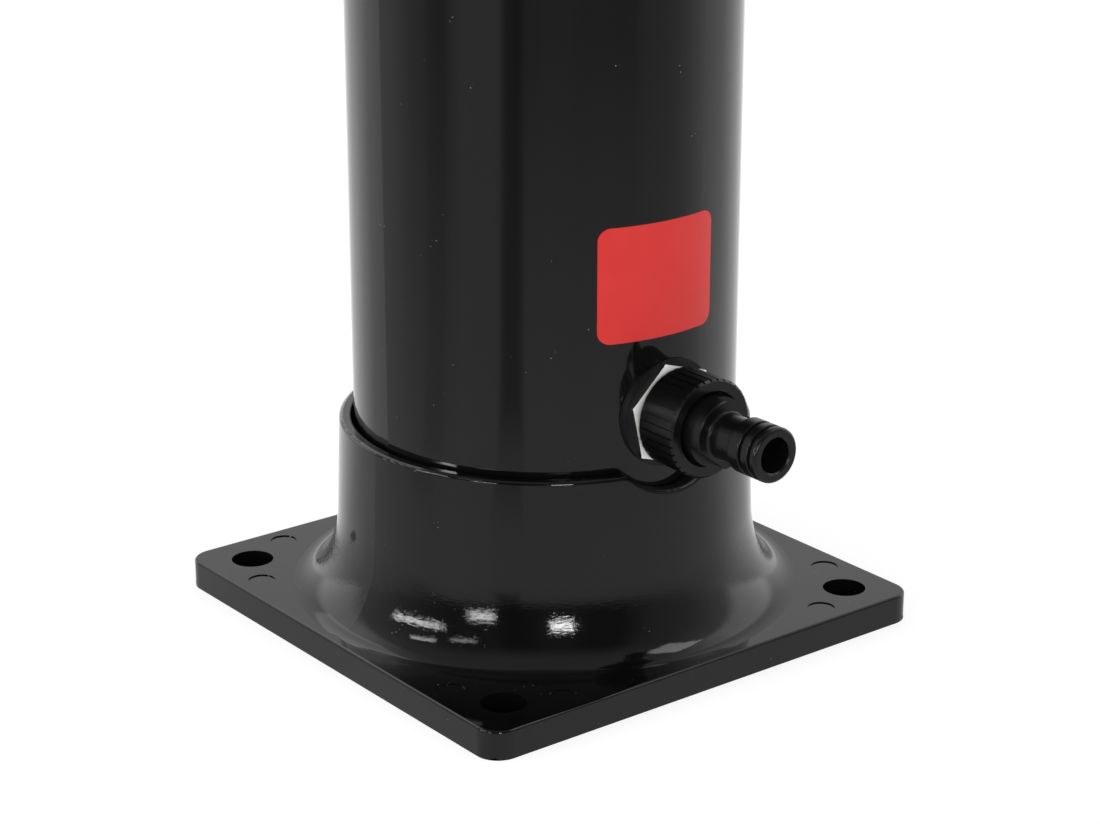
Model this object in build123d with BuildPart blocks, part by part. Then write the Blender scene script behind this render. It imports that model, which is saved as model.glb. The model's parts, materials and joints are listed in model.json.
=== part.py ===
from build123d import *
import math
import os

os.makedirs("parts", exist_ok=True)

# Outdoor solar shower: a black water column on a square moulded foot. Garden hose inlet at the back (+Y),
# single lever mixer, foot tap and rain head at the front (-Y). Millimetres, +Z up, origin in the middle of
# the foot's underside.

# Shared fits
glue_gap = 0.15  # pieces that are pushed or glued together and stay put
skin_gap = 0.05  # a soft seal against the wall that it is pressed on
thread_gap = 0.1  # around a threaded shank
running_gap = 0.3  # pieces that move past each other
pin_gap = 0.05  # around a pivot pin
overrun = 2.0  # how far a cutting shape runs past the surface that it cuts

# Water column
tank_radius = 62.5
tank_wall = 3.0
lower_tube_length = 1042.0
upper_tube_length = 978.0
tank_inner = tank_radius - tank_wall

# Foot: square plate, concave flare and drafted collar, moulded in one piece
plate_side = 174.0
plate_thickness = 9.6
plate_corner_radius = 7.8
plate_edge_radius = 0.9
plate_skin = 4.0
plate_rim_wall = 4.0
collar_height = 68.4
collar_rim_radius = 67.3
collar_draft_angle = 2.09
collar_rim_round = 1.3
collar_inner_round = 0.9
flare_top = 38.0
flare_foot_radius = 84.0
socket_clearance = 0.9
socket_web = 4.4
socket_wall = 3.8
anchor_hole_distance = 141.4
anchor_hole_radius = 7.05
anchor_boss_radius = 11.5
mark_radius = 4.5
mark_depth = 0.35
mark_far = 78.0
mark_near = 53.5
rib_thickness = 2.6
rib_count = 16
hub_radius = 12.0
web_screw_ring_radius = 40.0
web_boss_radius = 8.5

# Screws between the foot and the tank floor
screw_count = 4
screw_radius = 2.4
screw_head_radius = 4.8
screw_head_height = 3.2
screw_length = 19.0

# Tank floor, a plug in the lower tube
floor_lip = 4.0
floor_plate = 5.0
floor_skirt_height = 26.0
floor_skirt_wall = 3.6
floor_boss_radius = 6.0
floor_boss_height = 20.0

# Sleeve that joins the two tubes
coupling_belt_height = 12.0
coupling_belt_radius = 66.0
coupling_belt_round = 1.6
coupling_sleeve_length = 58.0
coupling_sleeve_wall = 5.0
coupling_seal_section = 1.9
coupling_seal_spacing = 18.0
coupling_seal_bite_share = 0.9  # of the seal's radius that lies in its groove

# Domed top cap
top_cap_radius = 64.2
top_cap_lip = 6.0
top_cap_rise = 22.0
top_cap_skirt_height = 24.0
top_cap_skirt_wall = 3.0
top_cap_plate = 4.0

# Heights of the fittings, from the ends of the tubes
inlet_above_tube_foot = 67.0
foot_tap_above_tube_foot = 312.0
mixer_above_joint = 88.0
arm_below_top = 65.0

# Garden hose inlet, measured outwards from the column's skin
inlet_thread_radius = 13.1
inlet_bore_radius = 8.5
inlet_flange_radius = 17.0
inlet_flange_thickness = 3.0
inlet_inner_washer = 3.1
inlet_washer_radius = 17.4
inlet_washer_thickness = 0.4
locknut_across_flats = 30.0
locknut_thickness = 2.4
locknut_chamfer = 0.6
locknut_turn_angle = 12.5
nut_standoff = 4.1
nut_length = 15.9
nut_back_radius = 15.7
nut_front_radius = 15.8
nut_chamfer = 0.7
nut_lip = 2.9
nut_groove_count = 36
nut_groove_width = 0.7
nut_groove_floor = 15.2
gasket_thickness = 2.0
nipple_bore_radius = 5.5
nipple_flange_radius = 12.9
nipple_flange_thickness = 2.4
nipple_barrel_radius = 11.1
nipple_barrel_length = 10.0
nipple_flats_width = 17.4
nipple_flats_length = 3.9
nipple_flats_angle = 53.0
nipple_edge = 0.3
nipple_cone_length = 3.4
nipple_neck_radius = 7.3
nipple_neck_length = 5.9
nipple_ridge_radius = 8.7
nipple_ridge_round = 0.35
nipple_shoulder = 0.9
nipple_ridge_lands = (4.4, 2.7)
nipple_groove_depth = 0.9
nipple_groove_slope = 0.3
nipple_groove_length = 0.8
nipple_tip_land = 1.1
nipple_tip_round = 1.15
nipple_mouth_chamfer = 0.5
stub_tail_radius = 12.0
stub_tail_length = 13.0

# Inlet label, a thin film on the column's skin
label_arc_angle = 40.0
label_offset_angle = 3.2
label_height = 36.6
label_corner_radius = 4.0
label_thickness = 0.3
label_above_inlet = 43.5

# Tee on the stub's inner end
tee_radius = 14.2
tee_socket_overlap = 10.0
tee_length = 22.0
tee_barb_setback = 6.4
tee_barb_root = 15.0

# Hoses and barbs inside the column
hose_radius = 6.0
hose_bore = 4.0
hose_bend_radius = 36.0
barb_radius = 3.9
barb_bore = 2.6
barb_length = 18.0
clamp_wall = 1.2
clamp_width = 7.0
clamp_setback = 6.0
hot_pickup_below_top = 46.0
hose_lean = 6.5
riser_distance = 18.0

# Mixer, measured outwards from the column's axis where it is called a distance
mixer_seal_radius = 25.0
mixer_seal_thickness = 4.0
mixer_shank_radius = 16.0
mixer_shank_end = 38.0
mixer_port_ring_radius = 9.0
rosette_radius = 28.0
rosette_thickness = 5.0
rosette_round = 2.0
mixer_body_radius = 23.5
mixer_body_length = 45.5
mixer_body_round = 1.2
mixer_cove = 3.0
mixer_inner_washer_radius = 22.0
mixer_inner_washer_thickness = 5.0
mixer_backnut_flats = 41.0
mixer_backnut_thickness = 7.0
backnut_chamfer = 1.0
cartridge_radius = 17.3
cartridge_length = 22.0
cartridge_bore_depth = 9.0
bonnet_thread_radius = 19.0
bonnet_thread_length = 6.0
bonnet_bore = 14.5
bonnet_radius = 21.0
bonnet_wall = 3.0
bonnet_opening = 14.85
bonnet_collar = 6.0
turntable_radius = 12.0
turntable_above_pivot = 3.0
stem_side = 6.0
stem_reach = 18.5
stem_tail = 5.0
stem_pin_radius = 1.5
cap_gap = 1.6
cap_wall = 2.9
cap_cover_angle = 75.0
lever_hub_radius = 6.5
lever_hub_start = 9.0
lever_root_width = 17.0
lever_root_depth = 10.0
lever_root_height = 12.0
lever_root_lean = 12.0
lever_mid_width = 14.0
lever_mid_depth = 7.6
lever_mid_height = 52.0
lever_mid_lean = 19.0
lever_tip_width = 19.0
lever_tip_depth = 5.0
lever_tip_height = 104.0
lever_tip_lean = 27.0
lever_edge_share = 0.42  # corner radius over the section's depth
lever_tip_round = 1.4
lever_screw_radius = 1.5
lever_screw_head_radius = 2.8
lever_screw_head_height = 2.6
lever_screw_length = 9.0
index_radius = 5.6
index_thickness = 1.4

# Foot tap
foot_seal_radius = 15.0
foot_seal_thickness = 2.6
foot_shank_radius = 10.4
foot_shank_bore = 6.0
foot_shank_length = 22.0
foot_collar_radius = 15.0
foot_collar_thickness = 4.0
foot_body_radius = 11.5
foot_body_length = 38.0
foot_body_round = 1.5
foot_spout_distance = 20.0
foot_spout_radius = 9.2
foot_spout_bore = 6.5
foot_spout_drop = 30.0
foot_inner_washer_thickness = 3.0
foot_backnut_flats = 28.0
foot_backnut_thickness = 6.0
headwork_thread_radius = 8.0
headwork_thread_length = 13.0
headwork_hex_flats = 19.0
headwork_hex_length = 5.0
headwork_nose_radius = 7.0
headwork_nose_length = 5.0
spindle_radius = 4.0
spindle_length = 27.0
knob_radius = 18.0
knob_length = 20.0
knob_lobes = 6
knob_scallop_radius = 9.0
knob_scallop_depth = 2.4
knob_round = 2.0
knob_wall = 3.6
knob_socket_depth = 6.0
knob_skirt_depth = 8.0
knob_standoff = 2.0
knob_index_radius = 7.5
knob_index_thickness = 1.2
aerator_radius = 10.4
aerator_height = 9.0
aerator_overlap = 5.0
aerator_screen_radius = 7.8
aerator_screen_depth = 1.5
aerator_hole_radius = 1.2
aerator_hole_ring_radius = 4.6
aerator_hole_count = 6

# Shower arm
arm_radius = 11.0
arm_bore = 8.5
arm_reach = 90.0
arm_bend_radius = 50.0
arm_drop_length = 9.0
arm_seal_radius = 22.0
arm_seal_thickness = 4.2
escutcheon_radius = 27.0
escutcheon_thickness = 7.0
escutcheon_flat_share = 0.55  # of its radius, where the domed rim begins
arm_inner_washer_radius = 17.0
arm_inner_washer_thickness = 3.2
arm_backnut_flats = 30.0
arm_backnut_thickness = 6.5
arm_inner_end = 44.0
arm_plug_thickness = 4.0

# Ball joint and rain head
stud_plug_length = 8.0
stud_collar_radius = 12.5
stud_collar_height = 7.0
stud_neck_radius = 5.0
stud_bore_radius = 3.0
ball_radius = 10.0
ball_below_collar = 20.0
seat_wall = 2.7
seat_open_angle = 51.0
seat_mouth_radius = 5.5
ball_nut_radius = 19.5
ball_nut_open_angle = 53.0
ball_nut_height = 12.0
ball_nut_skirt = 9.0
ball_nut_grips = 16
ball_nut_grip_radius = 1.4
ball_nut_edge = 1.5
hub_thread_radius = 16.0
head_radius = 75.0
head_hub_depth = 15.0
head_fall = 10.0
head_rim_height = 6.5
head_rim_round = 2.2
head_shell = 2.6
head_crown = 2.4
head_plate = 2.4
nozzle_ring_counts = (6, 12, 18, 24)
nozzle_ring_pitch = 15.5
nozzle_radius = 1.7
nozzle_tip_radius = 1.1
nozzle_proud = 2.0
nozzle_mat_thickness = 1.5
nozzle_mat_border = 4.0

# Heights and distances worked out from the sizes above
socket_radius = tank_radius + socket_clearance
socket_floor = plate_thickness + socket_web
tube_foot = socket_floor + floor_lip
joint_height = tube_foot + lower_tube_length
upper_foot = joint_height + coupling_belt_height
tank_top = upper_foot + upper_tube_length
inlet_height = tube_foot + inlet_above_tube_foot
foot_tap_height = tube_foot + foot_tap_above_tube_foot
mixer_height = upper_foot + mixer_above_joint
arm_height = tank_top - arm_below_top


def side_plane(height, facing):
    """Sketch plane through the column's axis: X runs outwards, Y is the height above the fitting's axis."""
    return Plane(origin=(0, 0, height), x_dir=(0, facing, 0), z_dir=(facing, 0, 0))


def face_plane(distance, height, facing):
    """Sketch plane square to a fitting's axis, at a distance from the column's axis, seen from outside."""
    return Plane(origin=(0, facing * distance, height), x_dir=(-facing, 0, 0), z_dir=(0, facing, 0))


def turned(points, plane, axis, mode=Mode.ADD):
    """Turn an outline of straight lines about an axis, in the part that is open."""
    with BuildSketch(plane) as outline:
        with BuildLine():
            Polyline(*points, close=True)
        make_face()
    revolve(outline.sketch, axis=axis, mode=mode)


def ring(plane, outer, inner, thickness, places=((0, 0),)):
    """Flat rings on a plane, along the plane's normal."""
    with BuildSketch(plane) as outline:
        with Locations(*places):
            Circle(outer)
            Circle(inner, mode=Mode.SUBTRACT)
    extrude(outline.sketch, amount=thickness)


def disc(plane, radius, thickness):
    """A round disc or rod on a plane, along the plane's normal."""
    with BuildSketch(plane) as outline:
        Circle(radius)
    extrude(outline.sketch, amount=thickness)


def bore(plane, radius, depth, places=((0, 0),)):
    """Drill the open part from a plane, along the plane's normal."""
    with BuildSketch(plane) as outline:
        with Locations(*places):
            Circle(radius)
    extrude(outline.sketch, amount=depth, mode=Mode.SUBTRACT)


def dome_arc(radius, rise, base):
    """Circular arc from a rim up to the axis."""
    sphere = (radius ** 2 + rise ** 2) / (rise * 2)
    start = math.degrees(math.asin((sphere - rise) / sphere))
    return CenterArc((0, base + rise - sphere), sphere, start, 90 - start)


def outer_saddle(height, facing, outer, inner, flat_distance):
    """A rubber ring that is hollowed to the tube's outer skin and flat on the fitting's side."""
    ring(face_plane(0, height, facing), outer, inner, flat_distance)
    bore(Plane.XY.offset(height - outer - overrun), tank_radius + skin_gap, (outer + overrun) * 2)


def inner_saddle(height, facing, outer, inner, flat_distance):
    """A ring inside the tube, flat on the nut's side and curved on the wall's side."""
    ring(face_plane(flat_distance, height, facing), outer, inner, tank_radius - flat_distance)
    with BuildSketch(Plane.XY.offset(height - outer - overrun)) as inside:
        Circle(tank_inner - skin_gap)
    extrude(inside.sketch, amount=(outer + overrun) * 2, mode=Mode.INTERSECT)


def hexagon_disc(plane, axis, start, thickness, flats, chamfer_length, turn=0.0):
    """A hexagon nut's body without its bore: a chamfered disc kept within a hexagon prism."""
    corner = flats / math.cos(math.pi / 6) / 2
    end = start + thickness
    outline = [
        (start, 0),
        (start, corner - chamfer_length),
        (start + chamfer_length / 2, corner + chamfer_length),
        (end - chamfer_length / 2, corner + chamfer_length),
        (end, corner - chamfer_length),
        (end, 0),
    ]
    turned(outline, plane, axis)
    with BuildSketch(Plane(origin=plane.origin, x_dir=-plane.z_dir, z_dir=plane.x_dir)) as prism:
        RegularPolygon(flats / 2, 6, major_radius=False, rotation=turn)
    extrude(prism.sketch, amount=end + overrun, mode=Mode.INTERSECT)


back_axis = Axis((0, 0, inlet_height), (0, 1, 0))
back_side = side_plane(inlet_height, 1)
mixer_axis = Axis((0, 0, mixer_height), (0, -1, 0))
mixer_side = side_plane(mixer_height, -1)
foot_axis = Axis((0, 0, foot_tap_height), (0, -1, 0))
foot_side = side_plane(foot_tap_height, -1)
arm_axis = Axis((0, 0, arm_height), (0, -1, 0))
arm_side = side_plane(arm_height, -1)

# Foot
draft_rise = math.tan(math.radians(collar_draft_angle))
flare_top_radius = collar_rim_radius + draft_rise * (collar_height - flare_top)
flare_width = flare_foot_radius - flare_top_radius
flare_rise = flare_top - plate_thickness
core_inner = socket_radius + socket_wall
core_width = flare_width + plate_skin
core_rise = flare_rise + plate_skin
core_angle = math.degrees(math.acos((flare_foot_radius - core_inner) / core_width))
core_top = flare_top - core_rise * math.sin(math.radians(core_angle))
notch_radius = inlet_height - collar_height + locknut_across_flats / 4
notch_round = plate_skin + plate_edge_radius
notch_drop = inlet_height - collar_height
notch_span = math.sqrt((notch_radius + notch_round) ** 2 - (notch_drop + notch_round) ** 2)
notch_share = notch_round / (notch_radius + notch_round)  # of the way from the small round to the big one
notch_join = (notch_span * (1 - notch_share), -(notch_drop + notch_round) * (1 - notch_share))
notch_mid_angle = math.atan2(notch_join[1] + notch_drop + notch_round, notch_join[0] - notch_span)
notch_mid_angle = (notch_mid_angle + math.pi / 2) / 2
notch_mid = (
    notch_span + notch_round * math.cos(notch_mid_angle),
    -notch_drop - notch_round + notch_round * math.sin(notch_mid_angle),
)
screw_places = PolarLocations(web_screw_ring_radius, screw_count, start_angle=45)
screw_seat = socket_floor - socket_web - overrun

# Pockets under the foot, as the cells that are cored out between its ribs
with BuildPart() as foot_cores:
    with BuildSketch(Plane.XY.offset(-overrun)):
        RectangleRounded(
            plate_side - plate_rim_wall * 2,
            plate_side - plate_rim_wall * 2,
            plate_corner_radius - plate_rim_wall / 2,
        )
        Circle(core_inner, mode=Mode.SUBTRACT)
    extrude(amount=overrun + plate_thickness - plate_skin)
    with BuildSketch(Plane.XZ):
        with BuildLine():
            ceiling = EllipticalCenterArc(
                (flare_foot_radius, flare_top), core_width, core_rise, 180 + core_angle,
                arc_size=90 - core_angle,
            )
            Polyline(
                ceiling @ 1, (flare_foot_radius, -overrun), (core_inner, -overrun), ceiling @ 0
            )
        make_face()
    revolve(axis=Axis.Z)
    with BuildSketch(Plane.XY.offset(-overrun)):
        Circle(socket_radius)
    extrude(amount=overrun + socket_floor - socket_web)
    with BuildSketch(Plane.XY.offset(-overrun)):
        with PolarLocations(0, rib_count // 2):
            Rectangle(plate_side * 2, rib_thickness)
        with GridLocations(anchor_hole_distance, anchor_hole_distance, 2, 2):
            Circle(anchor_boss_radius)
        with screw_places:
            Circle(web_boss_radius)
        Circle(hub_radius)
    extrude(amount=overrun * 2 + flare_top, mode=Mode.SUBTRACT)

with BuildPart() as base_flange:
    with BuildSketch():
        RectangleRounded(plate_side, plate_side, plate_corner_radius)
    extrude(amount=plate_thickness)
    fillet(base_flange.edges().group_by(Axis.Z)[-1], plate_edge_radius)
    with BuildSketch(Plane.XZ):
        with BuildLine():
            flare = EllipticalCenterArc(
                (flare_foot_radius, flare_top), flare_width, flare_rise, 180, arc_size=90
            )
            Polyline(
                flare @ 0, (collar_rim_radius, collar_height), (0, collar_height), (0, 0),
                (flare_foot_radius, 0), flare @ 1,
            )
        make_face()
    revolve(axis=Axis.Z)
    with BuildSketch(Plane.XY.offset(socket_floor)):
        Circle(socket_radius)
    extrude(amount=collar_height, mode=Mode.SUBTRACT)
    fillet(base_flange.edges().group_by(Axis.Z)[-1].sort_by(SortBy.RADIUS)[0], collar_inner_round)
    with BuildSketch(face_plane(0, inlet_height, 1)):
        with BuildLine():
            left = ThreePointArc(
                (-notch_span, -notch_drop), (-notch_mid[0], notch_mid[1]), (-notch_join[0], notch_join[1])
            )
            bottom = ThreePointArc(left @ 1, (0, -notch_radius), notch_join)
            right = ThreePointArc(bottom @ 1, notch_mid, (notch_span, -notch_drop))
            Polyline(right @ 1, (notch_span, 0), (-notch_span, 0), left @ 0)
        make_face()
    extrude(amount=plate_side, mode=Mode.SUBTRACT)
    rim_faces = base_flange.faces().filter_by(
        lambda face: face.center().Z > flare_top and abs(face.normal_at().Z) > math.sin(math.pi / 4)
    )
    outer_rim = rim_faces.edges().filter_by(
        lambda edge: math.hypot((edge @ 0).X, (edge @ 0).Y) > collar_rim_radius - skin_gap
        and math.hypot((edge @ 1).X, (edge @ 1).Y) > collar_rim_radius - skin_gap
    )
    fillet(outer_rim, collar_rim_round)
    with GridLocations(anchor_hole_distance, anchor_hole_distance, 2, 2):
        Cylinder(anchor_hole_radius, plate_side, mode=Mode.SUBTRACT)
    with BuildSketch(Plane.XY.offset(plate_thickness - mark_depth)):
        for quarter in range(4):
            turn = Rotation(0, 0, 90 * quarter)
            with Locations(turn * Pos(mark_far, mark_near), turn * Pos(mark_near, mark_far)):
                Circle(mark_radius)
    extrude(amount=overrun, mode=Mode.SUBTRACT)
    add(foot_cores.part, mode=Mode.SUBTRACT)
    with screw_places:
        Cylinder(screw_radius + pin_gap, socket_floor * 2 + overrun, mode=Mode.SUBTRACT)
        Cylinder(screw_head_radius + running_gap, screw_seat * 2, mode=Mode.SUBTRACT)
base_flange.part.label = "base_flange"
export_step(base_flange.part, "parts/base_flange.step")

with BuildPart() as base_screws:
    with screw_places:
        with Locations((0, 0, screw_seat)):
            Cylinder(screw_head_radius, screw_head_height, align=(Align.CENTER, Align.CENTER, Align.MAX))
            Cylinder(screw_radius, screw_length, align=(Align.CENTER, Align.CENTER, Align.MIN))
base_screws.part.label = "base_screws"
export_step(base_screws.part, "parts/base_screws.step")

# Tank floor, mid-height coupling, tubes and top cap
plug_radius = tank_inner - glue_gap
with BuildPart() as tank_floor:
    with BuildSketch(Plane.XY.offset(socket_floor)):
        Circle(tank_radius - glue_gap)
    extrude(amount=floor_lip)
    with BuildSketch(Plane.XY.offset(tube_foot)):
        Circle(plug_radius)
    extrude(amount=floor_skirt_height)
    chamfer(tank_floor.edges().group_by(Axis.Z)[-1], floor_skirt_wall / 4)
    with BuildSketch(Plane.XY.offset(socket_floor + floor_plate)):
        Circle(plug_radius - floor_skirt_wall)
    extrude(amount=floor_skirt_height + floor_lip, mode=Mode.SUBTRACT)
    with BuildSketch(Plane.XY.offset(socket_floor)):
        with screw_places:
            Circle(floor_boss_radius)
    extrude(amount=floor_boss_height)
    with BuildSketch(Plane.XY.offset(socket_floor)):
        with screw_places:
            Circle(screw_radius + thread_gap)
    extrude(amount=screw_seat + screw_length + thread_gap - socket_floor, mode=Mode.SUBTRACT)
tank_floor.part.label = "tank_floor"
export_step(tank_floor.part, "parts/tank_floor.step")

coupling_bottom = joint_height - coupling_sleeve_length
coupling_top = upper_foot + coupling_sleeve_length
coupling_seal_places = [
    coupling_bottom + coupling_seal_spacing,
    coupling_bottom + coupling_seal_spacing * 2,
    coupling_top - coupling_seal_spacing * 2,
    coupling_top - coupling_seal_spacing,
]
coupling_groove_floor = plug_radius - coupling_seal_section * 2 * coupling_seal_bite_share
with BuildPart() as tube_coupling:
    with BuildSketch(Plane.XY.offset(coupling_bottom)):
        Circle(plug_radius)
    extrude(amount=coupling_top - coupling_bottom)
    chamfer(tube_coupling.edges(), coupling_sleeve_wall / 4)
    with BuildSketch(Plane.XY.offset(joint_height)):
        Circle(coupling_belt_radius)
    extrude(amount=coupling_belt_height)
    belt_edges = tube_coupling.edges().filter_by(
        lambda edge: edge.geom_type == GeomType.CIRCLE and edge.radius > tank_radius
    )
    fillet(belt_edges, coupling_belt_round)
    with BuildSketch(Plane.XY.offset(coupling_bottom)):
        Circle(plug_radius - coupling_sleeve_wall)
    extrude(amount=coupling_top - coupling_bottom, mode=Mode.SUBTRACT)
    for seal_height in coupling_seal_places:
        with BuildSketch(Plane.XY.offset(seal_height - coupling_seal_section)):
            Circle(plug_radius + overrun)
            Circle(coupling_groove_floor, mode=Mode.SUBTRACT)
        extrude(amount=coupling_seal_section * 2, mode=Mode.SUBTRACT)
tube_coupling.part.label = "tube_coupling"
export_step(tube_coupling.part, "parts/tube_coupling.step")

coupling_seal_radius = (tank_inner - skin_gap - coupling_groove_floor - skin_gap) / 2
with BuildPart() as coupling_seals:
    for seal_height in coupling_seal_places:
        with Locations((0, 0, seal_height)):
            Torus(tank_inner - skin_gap - coupling_seal_radius, coupling_seal_radius)
coupling_seals.part.label = "coupling_seals"
export_step(coupling_seals.part, "parts/coupling_seals.step")

with BuildPart() as lower_tube:
    with BuildSketch(Plane.XY.offset(tube_foot)):
        Circle(tank_radius)
        Circle(tank_inner, mode=Mode.SUBTRACT)
    extrude(amount=lower_tube_length)
    with BuildSketch(face_plane(0, inlet_height, 1)):
        Circle(inlet_thread_radius + thread_gap)
    extrude(amount=tank_radius + overrun, mode=Mode.SUBTRACT)
    with BuildSketch(face_plane(0, foot_tap_height, -1)):
        Circle(foot_shank_radius + thread_gap)
    extrude(amount=tank_radius + overrun, mode=Mode.SUBTRACT)
lower_tube.part.label = "lower_tube"
export_step(lower_tube.part, "parts/lower_tube.step")

with BuildPart() as upper_tube:
    with BuildSketch(Plane.XY.offset(upper_foot)):
        Circle(tank_radius)
        Circle(tank_inner, mode=Mode.SUBTRACT)
    extrude(amount=upper_tube_length)
    with BuildSketch(face_plane(0, mixer_height, -1)):
        Circle(mixer_shank_radius + thread_gap)
    extrude(amount=tank_radius + overrun, mode=Mode.SUBTRACT)
    with BuildSketch(face_plane(0, arm_height, -1)):
        Circle(arm_radius + thread_gap)
    extrude(amount=tank_radius + overrun, mode=Mode.SUBTRACT)
upper_tube.part.label = "upper_tube"
export_step(upper_tube.part, "parts/upper_tube.step")

cap_spring = tank_top + top_cap_lip
with BuildPart() as top_cap:
    with BuildSketch(Plane.XZ):
        with BuildLine():
            dome = dome_arc(top_cap_radius, top_cap_rise, cap_spring)
            hollow = dome_arc(plug_radius - top_cap_skirt_wall, top_cap_rise - top_cap_plate, cap_spring)
            Polyline(
                dome @ 0,
                (top_cap_radius, tank_top),
                (plug_radius, tank_top),
                (plug_radius, tank_top - top_cap_skirt_height),
                (plug_radius - top_cap_skirt_wall, tank_top - top_cap_skirt_height),
                hollow @ 0,
            )
            Line(hollow @ 1, dome @ 1)
        make_face()
    revolve(axis=Axis.Z)
top_cap.part.label = "top_cap"
export_step(top_cap.part, "parts/top_cap.step")

# Garden hose inlet
locknut_back = tank_radius + inlet_washer_thickness
locknut_front = locknut_back + locknut_thickness
nut_back = tank_radius + nut_standoff
nut_front = nut_back + nut_length
lip_face = nut_front - nut_lip
flange_front = lip_face - pin_gap
flange_back = flange_front - nipple_flange_thickness
stub_front = flange_back - gasket_thickness
washer_flat = tank_inner - inlet_inner_washer
stub_flange_back = washer_flat - inlet_flange_thickness
stub_tail_end = stub_flange_back - stub_tail_length

with BuildPart() as inlet_stub:
    turned(
        [
            (stub_tail_end, inlet_bore_radius),
            (stub_tail_end, stub_tail_radius),
            (stub_flange_back, stub_tail_radius),
            (stub_flange_back, inlet_flange_radius),
            (washer_flat, inlet_flange_radius),
            (washer_flat, inlet_thread_radius),
            (stub_front - nipple_shoulder, inlet_thread_radius),
            (stub_front, inlet_thread_radius - nipple_shoulder),
            (stub_front, inlet_bore_radius),
        ],
        back_side,
        back_axis,
    )
inlet_stub.part.label = "inlet_stub"
export_step(inlet_stub.part, "parts/inlet_stub.step")

with BuildPart() as inlet_inner_washer_part:
    inner_saddle(inlet_height, 1, inlet_flange_radius, inlet_thread_radius + thread_gap, washer_flat)
inlet_inner_washer_part.part.label = "inlet_inner_washer"
export_step(inlet_inner_washer_part.part, "parts/inlet_inner_washer.step")

with BuildPart() as inlet_outer_washer:
    outer_saddle(inlet_height, 1, inlet_washer_radius, inlet_thread_radius + thread_gap, locknut_back)
inlet_outer_washer.part.label = "inlet_outer_washer"
export_step(inlet_outer_washer.part, "parts/inlet_outer_washer.step")

with BuildPart() as inlet_locknut:
    hexagon_disc(
        back_side, back_axis, locknut_back, locknut_thickness, locknut_across_flats,
        locknut_chamfer, 90 + locknut_turn_angle,
    )
    bore(face_plane(0, inlet_height, 1), inlet_thread_radius + thread_gap, locknut_front + overrun)
inlet_locknut.part.label = "inlet_locknut"
export_step(inlet_locknut.part, "parts/inlet_locknut.step")

with BuildPart() as inlet_nut:
    turned(
        [
            (nut_back, inlet_thread_radius + running_gap),
            (nut_back, nut_back_radius - nut_chamfer),
            (nut_back + nut_chamfer, nut_back_radius),
            (nut_front - nut_chamfer, nut_front_radius),
            (nut_front, nut_front_radius - nut_chamfer),
            (nut_front, nipple_barrel_radius + running_gap + nut_chamfer),
            (nut_front - nut_chamfer, nipple_barrel_radius + running_gap),
            (lip_face, nipple_barrel_radius + running_gap),
            (lip_face, inlet_thread_radius + running_gap),
        ],
        back_side,
        back_axis,
    )
    groove_depth = nut_back_radius - nut_groove_floor + overrun
    with BuildSketch(face_plane(nut_back - overrun, inlet_height, 1)):
        with PolarLocations(nut_groove_floor + groove_depth / 2, nut_groove_count):
            Rectangle(groove_depth, nut_groove_width)
    extrude(amount=nut_length + overrun * 2, mode=Mode.SUBTRACT)
inlet_nut.part.label = "inlet_nut"
export_step(inlet_nut.part, "parts/inlet_nut.step")

with BuildPart() as inlet_gasket:
    with BuildSketch(face_plane(stub_front, inlet_height, 1)):
        Circle(inlet_thread_radius - thread_gap)
        Circle(inlet_bore_radius, mode=Mode.SUBTRACT)
    extrude(amount=gasket_thickness)
inlet_gasket.part.label = "inlet_gasket"
export_step(inlet_gasket.part, "parts/inlet_gasket.step")

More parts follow.
